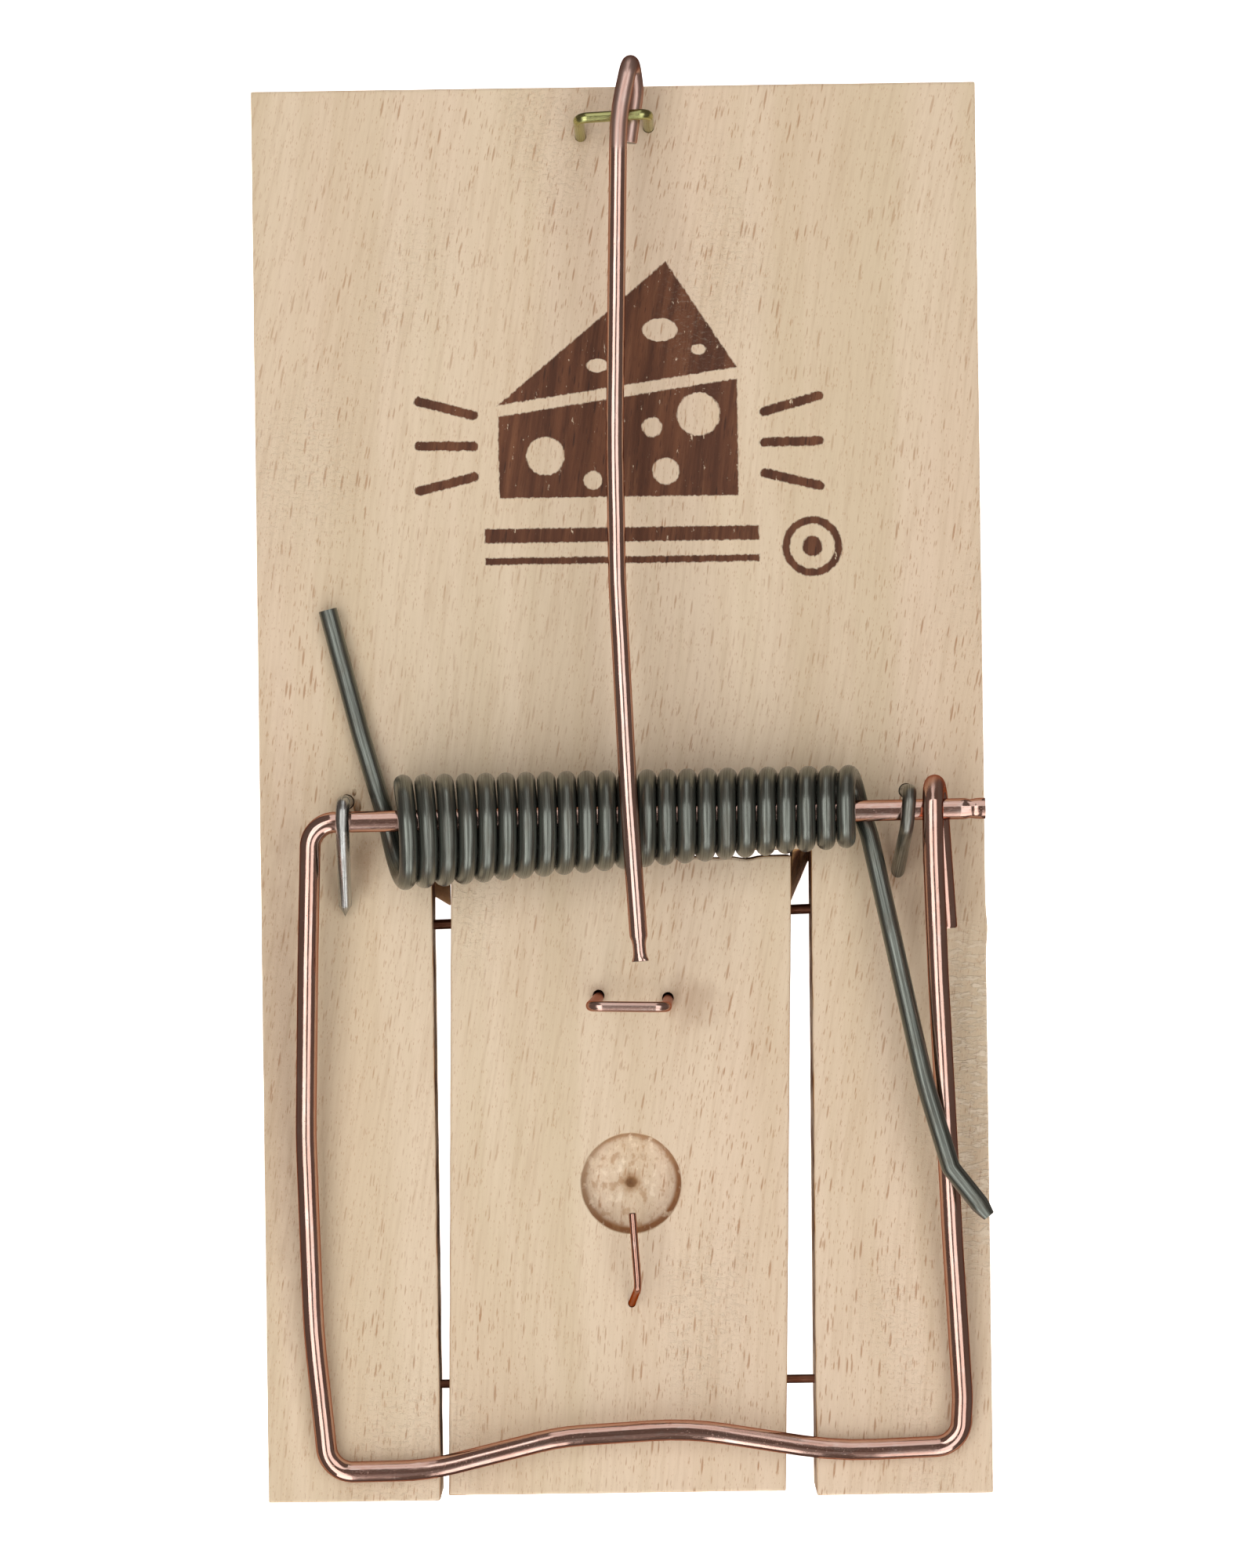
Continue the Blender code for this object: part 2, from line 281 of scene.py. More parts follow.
def plan_loop(shape, corners, inset, rough, step):
    """Points round a plan's corners moved inwards by an inset, with rough(x, y) added outwards.
    shape is the plan at the underside, whose edges give the spacing and the facing."""
    count = len(shape)
    facing = []
    for k in range(count):
        along = (shape[(k + 1) % count] - shape[k]).normalized()
        facing.append(Vector((along.y, -along.x)))
    loop = []
    for k in range(count):
        before, here, after = facing[k - 1], facing[k], facing[(k + 1) % count]
        start = corners[k] - (before + here) / (1 + before.dot(here)) * inset
        end = corners[(k + 1) % count] - (here + after) / (1 + here.dot(after)) * inset
        length = (shape[(k + 1) % count] - shape[k]).length
        for d in edge_stops(length, step):
            spot = start.lerp(end, d / length)
            loop.append(spot + here * rough(spot.x, spot.y))
    # three rounds of smoothing take the crispness off the roughness and the corners
    for _ in range(3):
        loop = [
            spot.lerp((loop[i - 1] + loop[(i + 1) % len(loop)]) / 2, 0.5)
            for i, spot in enumerate(loop)
        ]
    return loop


def slab(name, plan, low, high, rough, step=0.7, levels=10):
    """A solid between a flat underside and the height high(y), over a plan that may change with
    height. Its edges are eased, and rough(x, y, z) pushes its walls outwards."""
    angles = [math.radians(a) for a in (90, 60, 30)]
    eased = [(EASE * (1 - math.cos(a)), EASE * (1 - math.sin(a))) for a in angles]
    rows = [(inset, 0.0, lift) for inset, lift in eased]
    rows += [(0.0, k / levels, None) for k in range(levels + 1)]
    rows += [(inset, 1.0, -lift) for inset, lift in reversed(eased)]
    shape = plan(0.0)
    verts = []
    for inset, share, lift in rows:
        z_mid = low + (BOARD_T - low) * share
        loop = plan_loop(shape, plan(z_mid), inset, lambda x, y, z=z_mid: rough(x, y, z), step)
        for spot in loop:
            top = high(spot.y)
            if lift is None:
                z = low + EASE + (top - low - 2 * EASE) * share
            else:
                z = (low if share == 0.0 else top) + lift
            verts.append((spot.x, spot.y, z))
    return mesh_from(name, verts, tube_faces(len(verts), len(verts) // len(rows)))


def torn(seed, amount):
    """Cross-section of a ragged hole, wider at its mouth, which is the wire's far end."""
    def shape(gone, left):
        flare = 1 + amount * max(0.0, 1 - abs(left - 1.0) / 1.2)
        return (
            flare * (1 + 0.12 * wobble(gone, seed, 0.5)),
            flare * (1 + 0.12 * wobble(seed, gone, 2.5)),
        )
    return shape


def cut_away(obj, cutters):
    """Takes closed cutter meshes out of an object's mesh."""
    tools = []
    for index, mesh in enumerate(cutters):
        tool = linked(f"cutter_{index}", mesh)
        mod = obj.modifiers.new(tool.name, "BOOLEAN")
        mod.operation = "DIFFERENCE"
        mod.solver = "EXACT"
        mod.object = tool
        tools.append(tool)
    graph = bpy.context.evaluated_depsgraph_get()
    made = bpy.data.meshes.new_from_object(obj.evaluated_get(graph))
    obj.modifiers.clear()
    obj.data = made
    for tool in tools:
        bpy.data.objects.remove(tool)


def shade(mesh, angle=35, broad=2e-6):
    """Smooth shading except over sharp edges and on level or broad flat faces. broad is in
    square metres."""
    bm = bmesh.new()
    bm.from_mesh(mesh)
    bmesh.ops.dissolve_degenerate(bm, dist=2e-6, edges=bm.edges)
    bm.to_mesh(mesh)
    bm.free()
    mesh.shade_smooth()
    mesh.set_sharp_from_angle(angle=math.radians(angle))
    smooth = [face.area < broad and abs(face.normal.z) < 0.99 for face in mesh.polygons]
    mesh.polygons.foreach_set("use_smooth", smooth)
    mesh.update()


# ---------------------------------------------------------------- wood

def kerf_end(z):
    """Y at which the round saw blade stopped, at a height above the underside."""
    return min(CROSS_CUT_Y, SAW_Y + math.sqrt(SAW_R**2 - (z - SAW_Z) ** 2))


def board_plan(z):
    """The board from above: the blade has left a slanting foot of wood in each kerf's end."""
    half_w, half_l = BOARD_W / 2, BOARD_L / 2
    foot = kerf_end(z)
    left, right = KERF_LEFT_X, KERF_RIGHT_X
    corners = (
        (-half_w - 0.25, -half_l),
        (left[0], -half_l),
        (left[0], min(foot + 1.2, CROSS_CUT_Y)),
        (left[1], foot),
        (left[1], CROSS_CUT_Y),
        (right[0] - 0.35, CROSS_CUT_Y),
        (right[0] - 0.35, foot),
        (right[0] + 0.8, min(foot + 2.6, CROSS_CUT_Y)),
        (right[1], min(foot + 5.0, CROSS_CUT_Y)),
        (right[1] - 0.4, -half_l),
        (half_w + 0.1, -half_l),
        (half_w + 0.3, half_l),
        (-half_w, half_l),
    )
    return [Vector(c) for c in corners]


def board_rough(x, y, z):
    """Sawn walls beside the treadle are ragged, and the planed outer sides nearly true, with
    a small bulge beside the right pivot nail."""
    if y < -6.9 and KERF_LEFT_X[0] - 0.5 < x < KERF_RIGHT_X[1] + 0.5:
        nick = max(0.0, wobble(y * 0.9, z * 0.5, x * 0.2, 4) - 0.42)
        return 0.07 * wobble(x * 0.8, y * 0.8, z * 0.7) - 0.35 * nick
    bump = 0.25 * max(0.0, 1 - abs(y + 17.0) / 2.0) if x > 42 else 0.0
    return 0.035 * wobble(x * 0.25, y * 0.25, z * 0.4, 2) - 0.035 + bump


def treadle_plan(_):
    y0, y1 = TREADLE_Y
    left, right = TREADLE_LEFT_X, TREADLE_RIGHT_X
    return [Vector(c) for c in ((left[0], y0), (right[0], y0), (right[1], y1), (left[1], y1))]


def treadle_rough(x, y, z):
    """Sawn walls, with two small splits in the rear edge."""
    nick = max(0.0, wobble(y * 0.8, z * 0.5, x * 0.2, 9) - 0.4)
    if y > TREADLE_Y[1] - 0.8:
        for split_x, deep in ((11.3, 0.7), (14.9, 1.3)):
            nick += 4 * deep * max(0.0, 1 - abs(x - split_x) / 0.6)
    return 0.06 * wobble(x * 0.9, y * 0.9, z * 0.7, 6) - 0.06 - 0.25 * nick


def leg_hole(start, end, radius, flare, seed, top, depth):
    """A tight ragged hole for a wire's leg, from just above the wood's top to a depth in it."""
    mouth = start.lerp(end, (start.z - top) / (start.z - end.z))
    along = (end - mouth).normalized()
    path = [mouth + along * depth, mouth - along * 1.0]
    return sweep("hole", path, radius + 0.02, torn(seed, flare), 0.4, 20)


def bore(start, end, radius):
    """A plain round hole for a nail."""
    return sweep("bore", [start, end], radius, lambda gone, left: (1, 1), 8.0, 24)


def box_mesh(name, low, high):
    """A box between two opposite corners."""
    xs, ys, zs = zip(low, high)
    corners = [(x, y, z) for z in zs for y in ys for x in xs]
    faces = [(0, 2, 3, 1), (4, 5, 7, 6), (0, 1, 5, 4), (2, 6, 7, 3), (0, 4, 6, 2), (1, 3, 7, 5)]
    return mesh_from(name, corners, faces)


def recess_mesh():
    """The bait recess as a cutter: torn drill floor, centre dimple, round wall and a lid."""
    cx, cy = RECESS_AT
    rings = [
        (0.12, -DIMPLE_DEPTH),
        (0.3, -0.75 * DIMPLE_DEPTH),
        (0.5, -0.35 * DIMPLE_DEPTH),
        (DIMPLE_R, -0.08),
        (0.8, 0.0),
    ]
    rings += [(r * 0.25, 0.0) for r in range(4, 21)]
    rings += [(5.25, 0.02), (5.48, 0.12), (5.66, 0.34), (5.78, 0.7), (5.87, 1.1), (5.94, 1.6)]
    rings += [(6.0, 2.1), (RECESS_R, 2.3), (RECESS_R + 0.12, 2.42), (RECESS_R + 0.12, 3.4)]
    around = 72
    verts = []
    for r, h in rings:
        for k in range(around):
            a = 2 * math.pi * k / around
            x, y = r * math.cos(a), r * math.sin(a)
            lift = 0.0
            if 0.7 < r < 5.4:
                tear = max(0.0, wobble(x * 1.6, y * 1.3, 0.0, 11) + 0.1 * (y - x) / 6)
                lift = 0.03 * wobble(x * 4, y * 3, 0.0, 12) + 0.3 * tear
            bite = 0.05 * wobble(x * 0.9, y * 0.9, h * 2, 13) if r >= 5.9 else 0.0
            x, y = x * (1 + bite / 6), y * (1 + bite / 6)
            top = treadle_top(cy + y)
            verts.append((cx + x, cy + y, top - RECESS_DEPTH + h + lift))
    return mesh_from("recess", verts, tube_faces(len(verts), around))


# start, end, radius and seed of the pits torn open beside the left axle staple's rear leg
SPLINTER_PITS = (
    (at(-31.95, -3.0, -1.2), at(-31.8, -0.6, 0.35), 0.42, 5.1),
    (at(-32.3, -1.2, -1.2), at(-32.15, 0.9, 0.3), 0.24, 6.3),
)


def make_board(beech):
    mesh = slab("board", board_plan, 0.0, lambda y: BOARD_T, board_rough)
    board = new_object("board", mesh, ())
    cutters = []
    for sign in (-1, 1):
        inner = pivot_at(sign * 18.0)
        cutters.append(bore(pivot_at(sign * 45.0), inner, PIVOT_R + 0.03))
        outer = Vector((sign * 45.0, STOP_Y, STOP_Z))
        inner = Vector((sign * 18.0, STOP_Y, STOP_Z))
        cutters.append(bore(outer, inner, STOP_R + 0.03))
    left, right = AXLE_STAPLES["axle_staple_left"], AXLE_STAPLES["axle_staple_right"]
    # each leg's upper end, lower end and radius, then its hole's flare and seed
    legs = (
        (left[1], left[0], AXLE_STAPLE_R, 0.12, 0.8),
        (right[1], right[0], AXLE_STAPLE_R, 0.12, 1.4),
        (ROD_STAPLE[1], ROD_STAPLE[0], ROD_STAPLE_R, 0.0, 2.2),
        (ROD_STAPLE[2], ROD_STAPLE[3], ROD_STAPLE_R, 0.0, 3.1),
    )
    for leg in legs:
        cutters.append(leg_hole(*leg, top=BOARD_T, depth=5.0))
    for start, end, radius, seed in SPLINTER_PITS:
        cutters.append(sweep("pit", [start, end], radius, torn(seed, 0.2), 0.3, 14))
    cut_away(board, cutters)
    finish_wood(board, beech, "base", "base_board")


def make_treadle(beech):
    mesh = slab("treadle_plate", treadle_plan, TREADLE_UNDERSIDE_Z, treadle_top, treadle_rough)
    plate = new_object("treadle_plate", mesh, ())
    cutters = [recess_mesh()]
    for sign in (-1, 1):
        inner = pivot_at(sign * (PIVOT_INNER_X - 0.6))
        cutters.append(bore(pivot_at(sign * 24.0), inner, PIVOT_R + 0.06))
        edge = TREADLE_RIGHT_X[0] if sign > 0 else TREADLE_LEFT_X[0]
        xs = sorted((edge + sign * 2.0, edge - sign * (STOP_BITE + 1.0)))
        low = (xs[0], STOP_Y - STOP_SLOT_W / 2, STOP_SLOT_Z[0])
        high = (xs[1], STOP_Y + STOP_SLOT_W / 2, STOP_SLOT_Z[1])
        cutters.append(box_mesh("slot", low, high))
    # the catch staple's legs lean against the front of their holes; rows as in make_board
    behind = Vector((0.0, 0.22, 0.0))
    legs = (
        (CATCH[1] + behind, CATCH[0] + behind, CATCH_R, 0.15, 1.3),
        (CATCH[2] + behind, CATCH[3] + behind, CATCH_R, 0.15, 2.9),
        (BAIT_WIRE[1], BAIT_WIRE[0], BAIT_WIRE_R, 0.1, 3.7),
    )
    for leg in legs:
        cutters.append(leg_hole(*leg, top=treadle_top(leg[0].y), depth=4.5))
    cut_away(plate, cutters)
    finish_wood(plate, beech, "treadle", "treadle")


def finish_wood(obj, beech, body, node):
    shade(obj.data)
    obj.data.materials.clear()
    obj.data.materials.append(beech)
    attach(obj, body)
    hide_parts(node)


# ---------------------------------------------------------------- wires

AXLE_STAPLES = {
    "axle_staple_left": (
        at(-33.1, -0.7, -8.5),
        at(-33.1, -0.7, AXLE_STAPLE_H),
        at(-33.2, -3.5, AXLE_STAPLE_H),
        at(-33.42, -14.2, 0.5),
    ),
    "axle_staple_right": (
        at(34.3, -0.3, -8.5),
        at(34.25, -0.3, AXLE_STAPLE_H),
        at(33.85, -4.45, AXLE_STAPLE_H),
        at(32.85, -12.0, -4.0),
    ),
}
ROD_STAPLE = (
    at(-3.53, 77.1, -8.0),
    at(-4.03, ROD_STAPLE_Y - 0.2, ROD_STAPLE_H),
    at(4.29, ROD_STAPLE_Y + 0.2, ROD_STAPLE_H),
    at(4.5, 78.85, -8.0),
)
CATCH = (
    at(-2.75, -24.5, -8.0),
    at(-4.0, -25.05, CATCH_H),
    at(4.92, -25.25, CATCH_H),
    at(5.36, -25.0, -8.0),
)
BAIT_WIRE = (
    at(-0.5, -64.2, -7.0),
    at(1.15, -59.4, 3.2),
    at(0.57, -50.4, 3.7),
)


def make_nails(steel):
    for side, sign in (("left", -1), ("right", 1)):
        head, point = pivot_at(sign * NAIL_HEAD_X), pivot_at(sign * PIVOT_INNER_X)
        nail("pivot_nail_" + side, [head, point], PIVOT_R, steel)
        edge = TREADLE_RIGHT_X[0] if sign > 0 else TREADLE_LEFT_X[0]
        head = Vector((sign * NAIL_HEAD_X, STOP_Y, STOP_Z))
        point = Vector((edge - sign * STOP_BITE, STOP_Y, STOP_Z))
        nail("stop_nail_" + side, [head, point], STOP_R, steel)


def nail(name, path, radius, steel):
    def shape(gone, left):
        scale = min(1 - 0.12 * max(0.0, 1 - gone / 0.12), 0.25 + 0.75 * min(1.0, left / 2.0))
        return scale, scale
    obj = wire(name, "base", path, radius, steel, steel, shape, 1.0, 16)


def make_bow(copper, cut):
    """One wire: along the axle, down the left arm, across the front in a slack wave, back up
    the right arm, and round the axle in an open hook."""
    route = [
        at(43.3, AXLE_Y + 0.5, AXLE_H),
        at(-37.1, AXLE_Y - 0.1, AXLE_H),
        at(-37.75, -20.0, 5.95),
        at(-38.35, -40.5, 4.4),
        at(-37.85, -64.0, 2.7),
        at(-36.3, -81.2, CROSSBAR_H),
        at(-24.5, -81.1, CROSSBAR_H),
        at(-8.5, -77.3, CROSSBAR_H),
        at(7.0, -76.5, CROSSBAR_H),
        at(25.0, -79.5, CROSSBAR_H),
        at(39.6, -79.0, CROSSBAR_H),
        at(39.9, -73.0, 2.2),
        at(38.9, -55.0, 4.2),
        at(37.4, -22.0, 7.85),
        at(36.9, -7.0, AXLE_H + HOOK_R),
        at(36.95, AXLE_Y + HOOK_R + 0.65, AXLE_H + HOOK_R),
        at(37.7, AXLE_Y + HOOK_R + 0.65, AXLE_H - HOOK_R),
        at(38.7, -16.8, AXLE_H - HOOK_R),
    ]
    bends = (3.0, 60, 90, 90, 3.2, 30, 30, 40, 45, 3.2, 12, 90, 60, 25, HOOK_R, HOOK_R)

    def shape(gone, left):
        """The axle's end is pinched and flared by the shears, and the hook's end cropped."""
        pinch = max(0.0, 1 - abs(gone - 1.7) / 0.7)
        crop = max(0.0, 1 - left / 0.15)
        return 1 - 0.14 * pinch - 0.1 * crop, 1 - 0.2 * pinch - 0.1 * crop

    obj = wire("snap_bow", "bow", bent(route, bends), BOW_R, copper, cut, shape, 0.6, 24)


def coil_turns(per_turn=56):
    """A coil that widens to the left, its turns leaning out of square towards that end."""
    steps = TURNS * per_turn
    for k in range(steps + 1):
        t = k / steps
        angle = 2 * math.pi * TURNS * t
        radius = COIL_RADIUS[0] + (COIL_RADIUS[1] - COIL_RADIUS[0]) * t
        lean = 0.38 + 1.5 * max(0.0, t - 0.8)
        tilt = -0.35 + 1.1 * t
        x = COIL_X[0] + (COIL_X[1] - COIL_X[0]) * t
        x -= lean * math.sin(angle) + tilt * math.cos(angle)
        y = COIL_Y[0] + (COIL_Y[1] - COIL_Y[0]) * t + radius * math.sin(angle)
        yield at(x, y, AXLE_H - radius * math.cos(angle))


def make_spring(steel, cut):
    """Striking leg over the bow's right arm, coil round the axle, fixed leg on the board. The
    coil winds up as the bow turns, but here it is made in one place and joined to neither body."""
    coil = list(coil_turns())
    striking = [
        at(43.0, -51.0, 8.3),
        at(38.55, -45.2, 8.25),
        at(35.6, -35.0, 8.1),
        at(32.2, -18.2, 5.9),
        at(29.6, -5.5, 3.85),
        coil[0],
    ]
    fixed = [
        coil[-1],
        at(-28.7, -1.5, 1.5),
        at(-31.2, 7.2, 1.35),
        at(-35.0, 22.4, 1.35),
    ]
    path = bent(striking, (1.6, 30, 60, 12))[:-1] + coil + bent(fixed, (10, 40))[1:]

    def shape(gone, left):
        """The striking leg's end is cropped to a wedge."""
        wedge = max(0.0, 1 - gone / 1.6)
        return 1 - 0.35 * wedge, 1 - 0.5 * wedge

    ring = 20
    mesh = sweep("spring", path, SPRING_R, shape, 0.6, ring)
    obj = wire_object("spring", mesh, ring, steel, cut)
    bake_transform(obj)
    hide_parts("torsion_spring")


def make_staples(bright, dull, chromate, copper, cut):
    # the left axle staple gets the lighter steel, painted light, and the right the dull one
    for (name, route), steel in zip(AXLE_STAPLES.items(), (bright, dull)):
        path = bent(route, (1.6, 1.6))
        obj = wire(name, "base", path, AXLE_STAPLE_R, steel, steel, chiselled, 0.4, 20)
    path = bent(ROD_STAPLE, (1.1, 1.1))
    obj = wire("rod_staple", "base", path, ROD_STAPLE_R, chromate, chromate, sharpened, 0.4, 18)
    path = bent(CATCH, (1.4, 1.4))
    obj = wire("catch_staple", "treadle", path, CATCH_R, copper, cut, sharpened, 0.4, 18)


def make_rod(copper, cut):
    """The holding rod hooks through the rear staple's eye and lies over the coil."""
    route = [
        at(1.9, 77.7, ROD_STAPLE_H - 1.85),
        at(2.85, 83.9, ROD_STAPLE_H - 1.9),
        at(2.5, 86.9, ROD_STAPLE_H - 1.9),
        at(2.2, 86.9, ROD_STAPLE_H + 1.55),
        at(0.78, ROD_STAPLE_Y, ROD_STAPLE_H + 1.9),
        at(-0.2, 42.0, 11.1),
        at(-0.15, 25.0, 12.4),
        at(0.85, -1.0, 14.4),
        at(1.95, -19.9, 15.8),
    ]

    def shape(gone, left):
        """The tip is nipped over its last few millimetres and flares again at the very end."""
        nip = min(1.0, max(0.0, (2.8 - left) / 0.5))
        flare = min(1.0, max(0.0, 1.3 - left / 0.5))
        crop = max(0.0, 1 - gone / 0.15)
        return 1 - 0.26 * nip + 0.26 * flare - 0.1 * crop, 1 - 0.3 * nip - 0.1 * crop

    path = bent(route, (8.0, 1.65, 1.65, 40, 200, 90, 120))
    obj = wire("holding_rod", "rod", path, ROD_R, copper, cut, shape, 0.5, 24)


def make_bait_wire(copper, cut):
    path = bent(BAIT_WIRE, (1.8,))
    obj = wire("bait_wire", "treadle", path, BAIT_WIRE_R, copper, cut, chamfered, 0.3, 16)


# ---------------------------------------------------------------- materials

def rgb(red, green, blue):
    """A colour given as the 0 to 255 values seen on a screen, turned to linear light."""
    def linear(v):
        v /= 255
        return v / 12.92 if v <= 0.04045 else ((v + 0.055) / 1.055) ** 2.4
    return (linear(red), linear(green), linear(blue), 1.0)


class Graph:
    """Short names for building one material's nodes."""

    def __init__(self, name):
        self.material = bpy.data.materials.new(name)
        self.material.use_nodes = True
        self.tree = self.material.node_tree
        self.shader = self.tree.nodes["Principled BSDF"]

    def feed(self, socket, value):
        if isinstance(value, bpy.types.NodeSocket):
            self.tree.links.new(value, socket)
        else:
            socket.default_value = value

    def node(self, kind, inputs, **settings):
        made = self.tree.nodes.new("ShaderNode" + kind)
        for key, value in settings.items():
            setattr(made, key, value)
        for key, value in inputs.items():
            self.feed(made.inputs[key], value)
        return made

    def math(self, operation, a, b=0.0, c=0.0, clamp=False):
        made = self.node("Math", {0: a, 1: b, 2: c}, operation=operation, use_clamp=clamp)
        return made.outputs[0]

    def times(self, a, b):
        return self.math("MULTIPLY", a, b)

    def linear(self, value, slope, start):
        return self.math("MULTIPLY_ADD", value, slope, start)

    def plus(self, a, b):
        return self.math("ADD", a, b)

    def minus(self, a, b):
        return self.math("SUBTRACT", a, b)

    def vector(self, operation, a, b=(0, 0, 0)):
        return self.node("VectorMath", {0: a, 1: b}, operation=operation).outputs[0]

    def length(self, a):
        return self.node("VectorMath", {0: a}, operation="LENGTH").outputs["Value"]

    def noise(self, vector, scale, detail=2.0, roughness=0.5):
        """Noise in a space stretched by the three scales."""
        inputs = {
            "Vector": self.vector("MULTIPLY", vector, scale),
            "Scale": 1.0,
            "Detail": detail,
            "Roughness": roughness,
        }
        return self.node("TexNoise", inputs).outputs["Fac"]

    def cells(self, vector):
        """Distance to the nearest scattered point, and that point's own random colour."""
        made = self.node("TexVoronoi", {"Vector": vector, "Scale": 1.0})
        return made.outputs["Distance"], made.outputs["Color"]

    def ease(self, value, start, end, low=0.0, high=1.0):
        """Goes smoothly from low to high as a value goes from start to end."""
        inputs = {"Value": value, 1: start, 2: end, 3: low, 4: high}
        return self.node("MapRange", inputs, interpolation_type="SMOOTHSTEP").outputs[0]

    def mix(self, factor, a, b, blend="MIX"):
        made = self.node("Mix", {0: factor, 6: a, 7: b}, data_type="RGBA", blend_type=blend)
        return made.outputs[2]

    def lay(self, colour, mask, strength, tone):
        """Another tone over a colour, where a mask says and at a strength."""
        return self.mix(self.times(mask, strength), colour, tone)

    def split(self, vector):
        made = self.node("SeparateXYZ", {0: vector})
        return made.outputs[0], made.outputs[1], made.outputs[2]

    def bump(self, height, distance, strength=1.0):
        inputs = {"Height": height, "Distance": distance, "Strength": strength}
        return self.node("Bump", inputs).outputs["Normal"]

    def settle(self, **values):
        """Sets or feeds the shader's own sockets, named with _ for a space."""
        for key, value in values.items():
            self.feed(self.shader.inputs[key.replace("_", " ")], value)
        return self.material


def fleck_mask(g, spot, across, along, deep, half_width, chance):
    """Lens-shaped ray flecks: scattered points in stretched space, some of them left out."""
    distance, colour = g.cells(g.vector("MULTIPLY", spot, (across, along, deep)))
    red, green, _ = g.split(colour)
    size = g.linear(red, half_width, half_width * 0.45)
    body = g.ease(g.math("DIVIDE", distance, size), 1.0, 0.45)
    return g.times(body, g.math("GREATER_THAN", green, 1 - chance))


def stain_mask(g, x, y, blot, centre, reach):
    """A soft brown stain round a point, its edge broken up by blot."""
    dx = g.math("DIVIDE", g.minus(x, centre[0]), reach[0])
    dy = g.math("DIVIDE", g.minus(y, centre[1]), reach[1])
    away = g.math("SQRT", g.plus(g.times(dx, dx), g.times(dy, dy)))
    away = g.plus(away, g.linear(blot, 1.1, -0.55))
    return g.ease(away, 1.0, 0.1)


def beech_figure(g, spot, seed):
    """What the grain along Y is made of: tones, fibres and ray flecks of three sizes."""
    _, y, _ = g.split(spot)
    seeded = g.vector("ADD", spot, (seed, seed * 2, 0))
    # the grain wanders a little from side to side on its way
    drift = g.noise(seeded, (0.02, 0.012, 0.02), 1.0)
    drift = g.linear(drift, 8.0, -4.0)
    curve = g.times(g.times(y, y), -0.0003)
    drift = g.plus(drift, curve)
    offset = g.node("CombineXYZ", {0: drift, 1: 0.0, 2: 0.0}).outputs[0]
    grain = g.vector("ADD", seeded, offset)
    lean = {"Vector": grain, "Rotation": (0, 0, math.radians(9))}
    leaning = g.node("Mapping", lean).outputs[0]
    dense = g.noise(grain, (0.05, 0.016, 0.05), 2.0)
    between = g.vector("ADD", leaning, (31, 17, 5))
    among = g.vector("ADD", leaning, (7, 3, 11))
    return SimpleNamespace(
        leaning=leaning,
        bands=g.noise(grain, (0.16, 0.007, 0.12), 3.0, 0.55),
        tint=g.noise(grain, (0.045, 0.012, 0.05), 2.0),
        fibre=g.noise(leaning, (1.7, 0.07, 1.5), 4.0, 0.62),
        fine=g.noise(leaning, (5.5, 0.55, 5.0), 3.0, 0.6),
        dense=g.ease(dense, 0.35, 0.65),
        flecks=fleck_mask(g, leaning, 1.9, 0.24, 0.2, 0.26, 0.6),
        small=fleck_mask(g, between, 3.0, 0.55, 0.4, 0.28, 0.7),
        specks=fleck_mask(g, among, 5.0, 1.5, 1.2, 0.3, 0.6),
    )


def long_grain(g, figure, on_edge):
    """Colour along the grain; the rays show far less on the board's long edges."""
    light = g.mix(g.ease(figure.tint, 0.3, 0.7), rgb(229, 210, 182), rgb(228, 206, 180))
    dark = g.mix(g.ease(figure.tint, 0.3, 0.7), rgb(220, 201, 170), rgb(220, 198, 169))
    colour = g.mix(g.ease(figure.bands, 0.36, 0.64), light, dark)
    colour = g.mix(g.ease(figure.fibre, 0.42, 0.75, 0.0, 0.32), colour, rgb(190, 160, 126))
    colour = g.mix(g.ease(figure.fine, 0.55, 0.8, 0.0, 0.28), colour, rgb(196, 168, 134))
    colour = g.mix(g.ease(figure.fine, 0.42, 0.2, 0.0, 0.35), colour, rgb(232, 212, 184))
    much = g.linear(figure.dense, 0.38, 0.26)
    faint = g.times(much, 0.85)
    much = g.times(much, g.linear(on_edge, -0.75, 1.0))
    faint = g.times(faint, g.linear(on_edge, -0.5, 1.0))
    colour = g.lay(colour, figure.flecks, much, rgb(166, 116, 76))
    colour = g.lay(colour, figure.small, faint, rgb(174, 126, 86))
    return g.lay(colour, figure.specks, 0.45, rgb(186, 142, 102))


def charred(g, figure):
    """The brown of the burned mark, with the grain still showing."""
    streak = g.noise(figure.leaning, (0.55, 0.03, 0.5), 3.0, 0.6)
    char = g.mix(g.ease(streak, 0.35, 0.62), rgb(112, 69, 45), rgb(82, 47, 29))
    char = g.mix(g.ease(figure.fibre, 0.5, 0.75, 0.0, 0.45), char, rgb(132, 88, 60))
    char = g.mix(g.ease(figure.fine, 0.5, 0.75, 0.0, 0.5), char, rgb(68, 39, 24))
    char = g.lay(char, figure.flecks, 0.8, rgb(62, 36, 24))
    return g.lay(char, figure.small, 0.6, rgb(70, 42, 28))


def end_grain(g, spot):
    """Colour of the crosscut ends: growth rings and pores instead of long grain."""
    rings = g.length(g.vector("MULTIPLY", g.vector("ADD", spot, (-9, 0, 64)), (1, 0, 1)))
    waver = g.noise(spot, (0.2, 0, 0.3))
    rings = g.plus(rings, g.times(waver, 3.0))
    ring_line = g.ease(g.math("FRACT", g.times(rings, 0.42)), 0.55, 1.0)
    pores = g.noise(spot, (6, 0.4, 6), 3.0, 0.7)
    colour = g.mix(g.times(ring_line, 0.55), rgb(205, 178, 145), rgb(168, 134, 100))
    return g.mix(g.ease(pores, 0.5, 0.72, 0.0, 0.6), colour, rgb(140, 104, 74))


